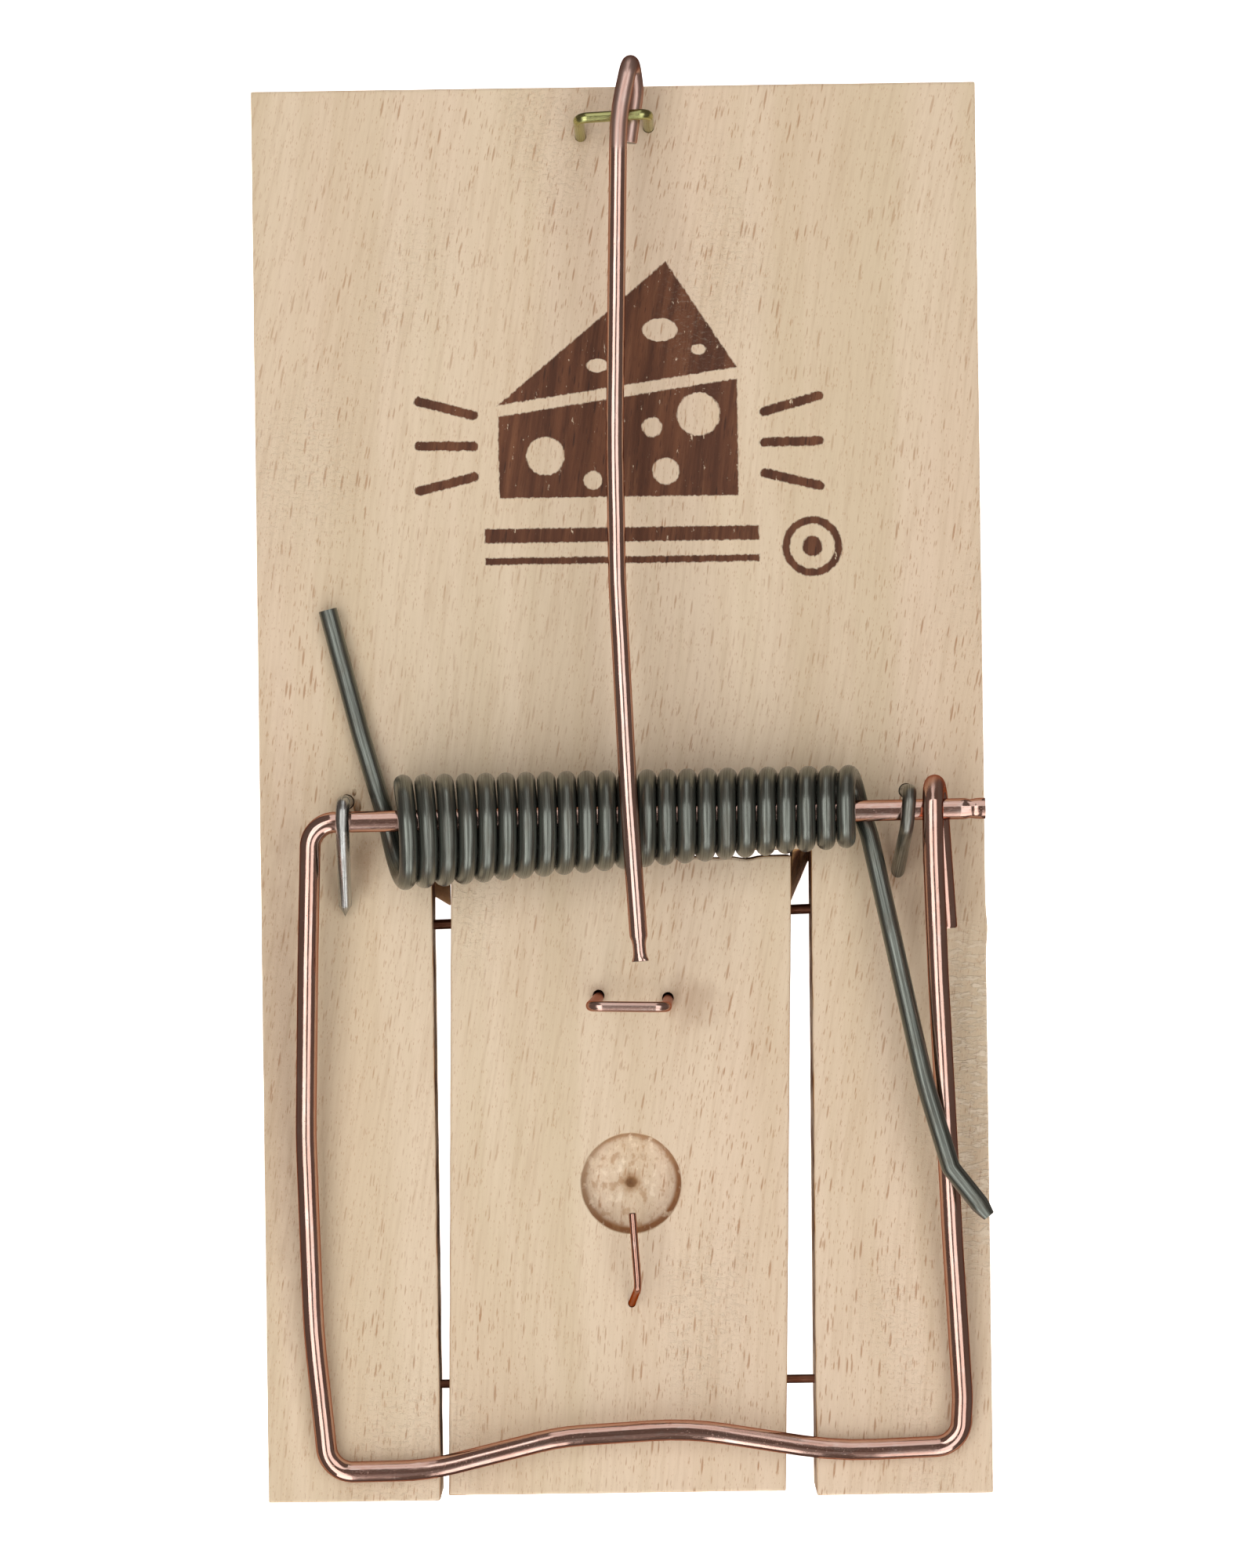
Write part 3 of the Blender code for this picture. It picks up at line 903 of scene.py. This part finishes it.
def drilled(g, spot, blot, colour):
    """The bait recess over the wood's colour: painted shade round the foot of its wall, a floor of
    torn fibres with a painted highlight on the lifted ones, and a brown smear round the centre."""
    _, y, z = g.split(spot)
    from_centre = g.vector("SUBTRACT", spot, (*RECESS_AT, 0))
    radial = g.length(g.vector("MULTIPLY", from_centre, (1, 1, 0)))
    fall = g.times(g.plus(y, -PIVOT_Y), TREADLE_SLOPE)
    below = g.ease(g.minus(z, fall), BOARD_T - 0.05, BOARD_T - 0.35)
    inside = g.times(below, g.ease(radial, 6.4, 6.2))
    # painted shade in the ring where the floor turns up into the wall
    rim_shade = g.times(g.ease(radial, 5.05, 5.75), inside)
    # painted shade, darker towards the front right
    rightwards, rearwards, _ = g.split(from_centre)
    rearwards = g.times(rearwards, 0.8)
    side = g.minus(g.times(rightwards, 0.6), rearwards)
    rim_shade = g.times(rim_shade, g.ease(side, -5.5, 5.5, 0.5, 1.15))
    rim_shade = g.times(rim_shade, g.linear(blot, 0.5, 0.7))
    colour = g.mix(rim_shade, colour, rgb(158, 110, 72))
    tears = g.noise(spot, (0.8, 0.6, 0.0), 3.0, 0.55)
    torn_floor = g.times(g.ease(tears, 0.52, 0.66), inside)
    colour = g.lay(colour, torn_floor, 0.6, rgb(180, 140, 102))
    # painted highlight: a pale tone on the lifted fibres
    lifted_highlight = g.times(g.ease(tears, 0.44, 0.34), inside)
    colour = g.lay(colour, lifted_highlight, 0.75, rgb(242, 224, 198))
    smear = g.ease(g.plus(radial, g.times(blot, 1.4)), 2.6, 1.1)
    smear = g.times(smear, g.times(inside, 0.85))
    return g.mix(smear, colour, rgb(160, 118, 76))


def planer_ripple(g, spot):
    """Short cross ripples torn in curly grain, and scallops along the right leg's margin; the mask
    carries both their bump and a painted pale sheen.
    """
    x, y, _ = g.split(spot)
    ripple_and_sheen = g.noise(spot, (1.5, 2.6, 1.0), 4.0, 0.75)
    curly = g.noise(spot, (0.05, 0.02, 0.1), 1.0)
    rippled = g.times(g.ease(curly, 0.52, 0.7), 0.3)
    ripple_and_sheen = g.times(g.ease(ripple_and_sheen, 0.5, 0.66), rippled)
    margin = g.times(g.ease(x, 37.5, 40.5), g.ease(y, -64.0, -50.0))
    margin = g.times(margin, g.ease(y, -12.0, -24.0))
    scallop = g.noise(spot, (0.55, 1.5, 1.0), 3.0, 0.6)
    scallop = g.times(g.ease(scallop, 0.46, 0.6), margin)
    return g.math("MAXIMUM", ripple_and_sheen, scallop)


def beech_material(name, stains, walls, mark=False, recess=False, seed=0.0):
    """Pale steamed beech. walls(g, x, y, z) is where upright faces go dark brown: saw scorch on
    sawn walls and painted shade in holes; stains are (x, y, reach x, reach y, strength) in
    millimetres."""
    g = Graph(name)
    place = g.node("TexCoord", {})
    spot = g.vector("MULTIPLY", place.outputs["Object"], (1000, 1000, 1000))
    x, y, z = g.split(spot)
    nx, ny, nz = g.split(place.outputs["Normal"])
    figure = beech_figure(g, spot, seed)
    on_edge = g.ease(g.math("ABSOLUTE", nx), 0.5, 0.8)
    colour = long_grain(g, figure, on_edge)

    blot = g.noise(spot, (0.55, 0.3, 0.5), 4.0, 0.65)
    for sx, sy, rx, ry, strength in stains:
        stain = stain_mask(g, x, y, blot, (sx, sy), (rx, ry))
        stain = g.times(stain, strength)
        colour = g.mix(stain, colour, rgb(150, 106, 70), "MULTIPLY")
    if mark:
        colour = g.mix(burned_mark(g, spot, x, y), colour, charred(g, figure))
    facing_end = g.ease(g.math("ABSOLUTE", ny), 0.6, 0.9)
    colour = g.mix(facing_end, colour, end_grain(g, spot))
    if recess:
        colour = drilled(g, spot, blot, colour)

    # saw scorch on sawn walls; inside the holes the same dark brown is painted shade
    upright = g.ease(g.math("ABSOLUTE", nz), 0.9, 0.5)
    scorch_and_hole_shade = g.times(upright, walls(g, x, y, z))
    patchy = g.noise(spot, (0.3, 0.16, 0.2), 3.0, 0.6)
    patchy = g.math("MAXIMUM", g.ease(patchy, 0.42, 0.62, 0.25, 1.0), g.ease(y, -20.0, -10.0))
    scorch_and_hole_shade = g.times(scorch_and_hole_shade, patchy)
    soot = g.noise(spot, (1.2, 0.4, 1.0), 4.0, 0.7)
    burn = g.mix(g.ease(soot, 0.35, 0.65), rgb(84, 48, 27), rgb(150, 102, 66))
    # paler on the sloping feet of wood in the kerfs' ends: partly lighter scorch, partly painted
    # light reaching into the slots
    lit_slope = g.ease(g.math("ABSOLUTE", nz), 0.15, 0.4)
    burn = g.lay(burn, lit_slope, 0.8, rgb(206, 158, 106))
    colour = g.mix(scorch_and_hole_shade, colour, burn)

    ripple_and_sheen = planer_ripple(g, spot)
    # painted highlight: a pale sheen over the ripples and scallops, which also raise the bump
    colour = g.lay(colour, ripple_and_sheen, 0.5, rgb(240, 226, 204))
    height = g.linear(figure.fibre, 0.5, g.times(figure.fine, 0.6))
    height = g.linear(ripple_and_sheen, 3.0, height)
    height = g.minus(height, g.times(figure.flecks, 0.2))
    height = g.plus(height, g.times(g.times(scorch_and_hole_shade, soot), 5.0))
    rough = g.linear(figure.fine, 0.16, 0.5)
    rough = g.linear(scorch_and_hole_shade, 0.2, rough)
    normal_out = g.bump(height, 0.00006, 0.7)
    g.settle(Specular_IOR_Level=0.25)
    return g.settle(Base_Color=colour, Roughness=rough, Normal=normal_out)


def burned_mark(g, spot, x, y):
    """A made-up emblem burned into the rear half: a wedge of cheese with round holes, three
    strokes on each side, a ring, and a plain double rule below."""
    wander = g.noise(spot, (2.2, 1.1, 0.0), 3.0, 0.6)
    jitter = g.linear(wander, 0.5, -0.25)

    def side(px, py, qx, qy):
        """Signed distance from the line through two points, negative on its left."""
        run = math.hypot(qx - px, qy - py)
        nx, ny = (qy - py) / run, (px - qx) / run
        part = g.linear(x, nx, -(px * nx + py * ny))
        return g.linear(y, ny, part)

    def convex(*corners):
        sides = [side(*a, *b) for a, b in zip(corners, corners[1:] + corners[:1])]
        result = sides[0]
        for other in sides[1:]:
            result = g.math("MAXIMUM", result, other)
        return result

    def disc(cx, cy, radius, squash=1.0):
        away = g.vector("MULTIPLY", g.vector("SUBTRACT", spot, (cx, cy, 0)), (1, squash, 0))
        return g.minus(g.length(away), radius)

    def bar(a, b, radius):
        """A straight stroke with round ends."""
        run = (b[0] - a[0], b[1] - a[1], 0.0)
        away = g.vector("MULTIPLY", g.vector("SUBTRACT", spot, (*a, 0.0)), (1, 1, 0))
        dot = g.node("VectorMath", {0: away, 1: run}, operation="DOT_PRODUCT").outputs["Value"]
        share = g.math("MULTIPLY", dot, 1 / (run[0] ** 2 + run[1] ** 2), clamp=True)
        reached = g.node("VectorMath", {0: run, "Scale": share}, operation="SCALE").outputs[0]
        return g.minus(g.length(g.vector("SUBTRACT", away, reached)), radius)

    def without(shape, hole):
        return g.math("MAXIMUM", shape, g.times(hole, -1.0))

    def join(*shapes):
        result = shapes[0]
        for other in shapes[1:]:
            result = g.math("MINIMUM", result, other)
        return result

    front = convex((-14.2, 35.6), (14.6, 35.6), (14.6, 49.6), (-14.2, 45.4))
    big = ((-8.6, 40.6, 2.3), (5.9, 38.6, 1.6), (9.9, 45.4, 2.6))
    small = ((-2.9, 37.6, 1.1), (4.3, 43.9, 1.2))
    for hole in big + small:
        front = without(front, disc(*hole))
    top = convex((-14.2, 46.8), (14.6, 51.0), (6.2, 63.8))
    flattened = ((5.4, 55.6, 2.1, 1.5), (-2.2, 51.4, 1.3, 1.6), (10.0, 53.2, 0.9, 1.4))
    for hole in flattened:
        top = without(top, disc(*hole))
    strokes = []
    for sign, inner in ((-1, -17.2), (1, 17.8)):
        for step in range(3):
            low, tip = 38.2 + 3.7 * step, 36.6 + 5.4 * step
            strokes.append(bar((inner, low), (inner + sign * 6.6, tip), 0.55))
    rules = [
        convex((-16.0, 30.2), (17.0, 30.2), (17.0, 31.9), (-16.0, 31.9)),
        convex((-16.0, 27.6), (17.0, 27.6), (17.0, 28.4), (-16.0, 28.4)),
    ]
    ring = without(disc(23.4, 29.3, 3.6), disc(23.4, 29.3, 2.7))
    dot = disc(23.4, 29.3, 1.2)
    shape = join(front, top, *strokes, *rules, ring, dot)
    ink = g.ease(g.plus(shape, jitter), 0.12, -0.1)
    gaps = g.ease(g.noise(spot, (1.4, 0.55, 0.0), 5.0, 0.7), 0.3, 0.37)
    return g.times(ink, gaps)


def board_walls(g, x, y, z):
    """Where the kerfs' and the cross cut's walls are, and the insides of the holes, whose dark
    brown is painted shade.
    """
    inner = g.times(g.ease(x, -23.6, -23.5), g.ease(x, 22.95, 22.85))
    inner = g.times(inner, g.ease(y, -6.7, -6.8))
    # painted shade: the dark brown is also laid inside the holes
    holes = g.times(g.ease(g.math("ABSOLUTE", x), 43.0, 42.8), g.ease(z, 11.9, 11.4))
    holes = g.times(holes, g.ease(y, 84.6, 84.4))
    holes = g.times(holes, g.ease(y, -84.6, -84.4))
    return g.math("MAXIMUM", inner, holes)


def treadle_walls(g, x, y, _):
    """Where the treadle's sides and its rear are."""
    sides = g.math("MAXIMUM", g.ease(x, -19.9, -20.1), g.ease(x, 18.1, 18.3))
    rear = g.ease(y, -9.0, -8.9)
    return g.math("MAXIMUM", sides, rear)


def drawn_wire(g, spread, around, along, detail=3.0):
    """Fine lines drawn along a wire, from its place as if it lay straight."""
    return g.noise(spread, (around, around, along), detail, 0.6)


def copper_material(name, warmth, dull_from=None, dull=0.4, tarnish=0.0):
    """Copper-washed steel wire: pinkish, bright, with drawing lines and silvery rubs. The wash
    has gone dull where the wire is hooked, behind the Y dull_from, and brown by tarnish."""
    g = Graph(name)
    spread = g.node("Attribute", {}, attribute_name="wire").outputs["Vector"]
    lines = drawn_wire(g, spread, 5.0, 0.12)
    hair = drawn_wire(g, spread, 16.0, 0.4)
    rubs = g.ease(drawn_wire(g, spread, 1.3, 0.35, 4.0), 0.5, 0.72)
    nicks = g.ease(drawn_wire(g, spread, 6.0, 4.0, 2.0), 0.68, 0.76)
    colour = g.mix(warmth, rgb(208, 182, 172), rgb(206, 167, 151))
    colour = g.mix(tarnish, colour, rgb(140, 92, 70))
    colour = g.mix(g.ease(lines, 0.35, 0.7, 0.0, 0.5), colour, rgb(188, 138, 120))
    colour = g.lay(colour, rubs, 0.4, rgb(214, 200, 192))
    colour = g.lay(colour, nicks, 0.6, rgb(120, 74, 56))
    rough = g.linear(lines, 0.06, 0.06)
    rough = g.linear(nicks, 0.15, rough)
    if dull_from is not None:
        _, y, _ = g.split(g.node("TexCoord", {}).outputs["Object"])
        rough = g.plus(rough, g.ease(y, dull_from * MM, (dull_from + 2) * MM, 0.0, dull))
    height = g.plus(g.times(lines, 0.6), g.times(hair, 0.4))
    height = g.minus(height, g.times(nicks, 0.6))
    normal = g.bump(height, 0.00002, 0.4)
    g.settle(Specular_Tint=rgb(188, 116, 90))
    return g.settle(Base_Color=colour, Metallic=1.0, Roughness=rough, Normal=normal)


# two tones, a stain and how strong it is, then the least roughness and its spread
STEELS = {
    "cut_steel": ((170, 166, 160), (110, 104, 98), (96, 70, 52), 0.4, 0.35, 0.1),
    "nail_steel": ((150, 104, 82), (92, 56, 42), (104, 58, 38), 0.7, 0.36, 0.15),
    "spring_steel": ((128, 133, 125), (80, 83, 77), (92, 82, 68), 0.3, 0.2, 0.2),
    # the left axle staple: a lighter copy of the dull staple steel, its extra lightness painted
    # light
    "lit_staple_steel": ((206, 208, 206), (140, 142, 139), (112, 98, 84), 0.3, 0.19, 0.1),
    "dull_staple_steel": ((160, 161, 154), (96, 97, 90), (92, 82, 68), 0.4, 0.28, 0.1),
    "chromated_steel": ((198, 198, 140), (142, 144, 88), (166, 150, 88), 0.5, 0.15, 0.12),
}


def steel_material(name, skin=0.0):
    """Drawn steel wire between two tones, with streaks along it and stained patches. A blued
    skin scatters some of the light and holds a film of oil."""
    light, dark, stain, stained, rough_from, rough_by = STEELS[name]
    g = Graph(name)
    spread = g.node("Attribute", {}, attribute_name="wire").outputs["Vector"]
    lines = drawn_wire(g, spread, 8.0, 0.1, 4.0)
    hair = drawn_wire(g, spread, 20.0, 0.5)
    patch = g.ease(drawn_wire(g, spread, 0.9, 0.25, 4.0), 0.48, 0.7)
    colour = g.mix(g.ease(lines, 0.3, 0.7), rgb(*light), rgb(*dark))
    colour = g.lay(colour, patch, stained, rgb(*stain))
    rough = g.linear(lines, rough_by, rough_from)
    rough = g.linear(patch, 0.1, rough)
    height = g.plus(g.times(lines, 0.6), g.times(hair, 0.5))
    normal = g.bump(height, 0.00003, 0.6)
    g.settle(Metallic=1.0 - 0.3 * skin, Coat_Weight=skin, Coat_Roughness=0.25)
    return g.settle(Base_Color=colour, Roughness=rough, Normal=normal)


def floor_material():
    """A matt white table, lit a little from within so that no edge of the board greys it."""
    g = Graph("white_table")
    place = g.node("TexCoord", {}).outputs["Object"]
    cloud = g.noise(place, (6, 6, 6), 3.0)
    colour = g.mix(cloud, (0.9, 0.9, 0.9, 1.0), (0.93, 0.93, 0.93, 1.0))
    g.settle(Emission_Color=(1.0, 1.0, 1.0, 1.0), Emission_Strength=1.0)
    return g.settle(Base_Color=colour, Roughness=0.9)


# ---------------------------------------------------------------- studio

# metres; the side softboxes hang beside a gap that the camera looks down through
CAMERA_AT = (0.00067, 0.00099, 0.712)
CAMERA_LENS = 133.5
CAMERA_TURN = math.radians(-0.82)
LIGHT_HEIGHT = 0.9
GAP_HALF_WIDTH = 0.13
SIDE_REACH = 0.8
SIDE_Y = (-1.6, 0.5)
SIDE_RADIANCE = (2.06, 1.54)
FRONT_PANEL_RADIANCE = (2.35, 2.05)
FRONT_GAP_Y = (-1.6, -0.5)
FRONT_GAP_RADIANCE = 0.12
REAR_WIDTH = 0.25
REAR_Y = (0.45, 1.0)
REAR_RADIANCE = 0.87
WORLD_COLOUR = (0.155, 0.125, 0.11, 1.0)


def make_camera():
    data = bpy.data.cameras.new("camera")
    data.lens = CAMERA_LENS
    data.sensor_width = 36.0
    data.clip_start = 0.01
    camera = linked("camera", data)
    camera.location = CAMERA_AT
    camera.rotation_euler = (0.0, 0.0, CAMERA_TURN)
    bpy.context.scene.camera = camera


def softbox(name, centre, width, depth, turn, radiance):
    """A rectangle of light facing down, or turned about X to face forwards or back."""
    data = bpy.data.lights.new(name, "AREA")
    data.shape = "RECTANGLE"
    data.size = width
    data.size_y = depth
    data.energy = radiance * math.pi * width * depth
    light = linked(name, data)
    light.location = centre
    light.rotation_euler = (math.radians(turn), 0.0, 0.0)
    light.visible_camera = False


def overhead(name, x_range, y_range, radiance):
    """A softbox hung level over a rectangle of the table."""
    (x0, x1), (y0, y1) = x_range, y_range
    centre = ((x0 + x1) / 2, (y0 + y1) / 2, LIGHT_HEIGHT)
    softbox(name, centre, x1 - x0, y1 - y0, 0, radiance)


def make_studio():
    """Long softboxes at both sides of the camera that turn down at the front, a dim one in the
    gap between them there, and a narrow wall of light at the rear."""
    for side, (name, sign) in enumerate((("left", -1), ("right", 1))):
        xs = sorted((sign * GAP_HALF_WIDTH, sign * SIDE_REACH))
        overhead("box_" + name, xs, SIDE_Y, SIDE_RADIANCE[side])
        centre = ((xs[0] + xs[1]) / 2, SIDE_Y[0], LIGHT_HEIGHT / 2)
        panel = FRONT_PANEL_RADIANCE[side]
        softbox("panel_" + name, centre, xs[1] - xs[0], LIGHT_HEIGHT, 90, panel)
    across = (-GAP_HALF_WIDTH, GAP_HALF_WIDTH)
    overhead("box_front", across, FRONT_GAP_Y, FRONT_GAP_RADIANCE)
    overhead("box_rear", (-REAR_WIDTH, REAR_WIDTH), REAR_Y, REAR_RADIANCE)
    centre = (0.0, REAR_Y[1], LIGHT_HEIGHT / 2)
    softbox("panel_rear", centre, 2 * REAR_WIDTH, LIGHT_HEIGHT, -90, REAR_RADIANCE)
    world = bpy.data.worlds.new("studio")
    world.use_nodes = True
    world.node_tree.nodes["Background"].inputs["Color"].default_value = WORLD_COLOUR
    bpy.context.scene.world = world
    bpy.context.scene.view_settings.view_transform = "Standard"


def make_floor(size=6.0):
    mesh = bpy.data.meshes.new("floor")
    corners = [(-size, -size, 0), (size, -size, 0), (size, size, 0), (-size, size, 0)]
    mesh.from_pydata(corners, [], [(0, 1, 2, 3)])
    floor = new_object("floor", mesh, (floor_material(),))
    floor.visible_glossy = False


# ---------------------------------------------------------------- the object

make_camera()
make_studio()
make_floor()

# round the staples' legs, and last a long darkening on the left leg's outer margin, beside the
# bow's left arm
BOARD_STAINS = (
    (-31.0, -8.0, 2.6, 5.0, 0.45),
    (-33.2, -1.0, 2.2, 2.4, 0.6),
    (32.0, -9.0, 3.0, 5.5, 0.4),
    (-3.9, 79.0, 1.6, 1.6, 0.3),
    (-41.5, -28.0, 5.5, 48.0, 0.22),
)
# round the catch staple
TREADLE_STAINS = (
    (-3.0, -24.3, 1.6, 1.8, 0.45),
    (5.3, -25.0, 1.6, 1.8, 0.45),
    (8.4, -25.2, 5.0, 4.2, 0.3),
    (0.0, -23.4, 7.0, 2.6, 0.12),
)
make_board(beech_material("beech_board", BOARD_STAINS, board_walls, mark=True))
make_treadle(beech_material("beech_treadle", TREADLE_STAINS, treadle_walls, recess=True, seed=3.0))

cut_steel = steel_material("cut_steel")
nail_steel = steel_material("nail_steel")
bow_copper = copper_material("coppered_bow", warmth=0.5, dull_from=-1.2, dull=0.25)
rod_copper = copper_material("coppered_rod", warmth=0.15, dull_from=75.5, dull=0.3)
# the catch staple is a little dull from end to end
catch_copper = copper_material("coppered_catch", warmth=0.2, dull_from=-BOARD_L, dull=0.12)
bait_copper = copper_material("coppered_bait_wire", warmth=0.8, tarnish=0.5)
spring_steel = steel_material("spring_steel", skin=0.35)
lit_staple_steel = steel_material("lit_staple_steel")
dull_staple_steel = steel_material("dull_staple_steel")
staple_chromate = steel_material("chromated_steel")
make_nails(nail_steel)
make_bow(bow_copper, cut_steel)
make_spring(spring_steel, cut_steel)
make_staples(lit_staple_steel, dull_staple_steel, staple_chromate, catch_copper, cut_steel)
make_rod(rod_copper, cut_steel)
make_bait_wire(bait_copper, cut_steel)
